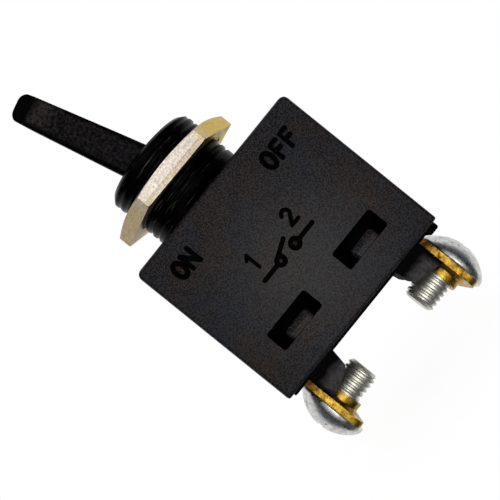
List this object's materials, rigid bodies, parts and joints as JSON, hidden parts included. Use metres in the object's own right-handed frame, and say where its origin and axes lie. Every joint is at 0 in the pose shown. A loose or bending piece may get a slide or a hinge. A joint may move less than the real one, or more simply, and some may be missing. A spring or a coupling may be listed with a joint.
{
  "type": "angle grinder switch",
  "caption": "Panel-mount toggle switch with a threaded bushing and hex nut, a flat lever that tilts between ON and OFF, a moulded box body and brass screw terminals.",
  "frame": {"origin": "on the bushing axis, in the plane of the panel seat on top of the housing", "axes": "+Z along the bushing toward the lever's tip, -Y toward the marked face, -X toward ON and +X toward OFF"},
  "size_m": [0.0282, 0.0178, 0.0575],
  "materials": {
    "moulded_black": "fine moulded grain",
    "base_black": "smooth moulded",
    "lever_black": "satin moulded",
    "nut_plating": "bright nickel plating",
    "screw_plating": "zinc plating",
    "strip_brass": "stamped brass",
    "pin_steel": "ground steel",
    "spring_steel": "drawn wire",
    "plunger_nylon": "natural nylon",
    "rocker_copper": "stamped copper alloy",
    "contact_silver": "silver alloy"
  },
  "bodies": {
    "root": {"housing": "moulded_black", "terminal_base": "base_black", "pivot_pin": "pin_steel", "fixed_contact": "contact_silver", "common_terminal": "strip_brass", "load_terminal": "strip_brass", "terminal_screw_1": "screw_plating", "terminal_screw_2": "screw_plating"},
    "lever": {"toggle_lever": "lever_black", "toggle_spring": "spring_steel"},
    "plunger": {"plunger": "plunger_nylon"},
    "rocker": {"rocker_arm": "rocker_copper", "moving_contact": "contact_silver"},
    "nut": {"hex_nut": "nut_plating"}
  },
  "joints": [
    {"name": "lever_tilt", "type": "hinge", "parent": "root", "child": "lever", "pos_m": [0, 0, 0.0043], "axis": [0, 1, 0], "range_deg": [0, 28]},
    {"name": "rocker_tilt", "type": "hinge", "parent": "root", "child": "rocker", "pos_m": [0, 0, -0.00833], "axis": [0, 1, 0], "range_deg": [-20, 0]},
    {"name": "plunger_slide", "type": "slide", "parent": "lever", "child": "plunger", "axis": [-0.2419, 0, 0.9703], "range_m": [0, 0.0008], "stiffness_N_per_m": 800, "springref_m": -0.002, "deforming": ["toggle_spring"]},
    {"name": "nut_travel", "type": "slide", "parent": "root", "child": "nut", "axis": [0, 0, 1], "range_m": [-0.00345, 0.009]}
  ],
  "couplings": [
    {"joint": "rocker_tilt", "follows": "lever_tilt", "ratio": -0.71429}
  ]
}
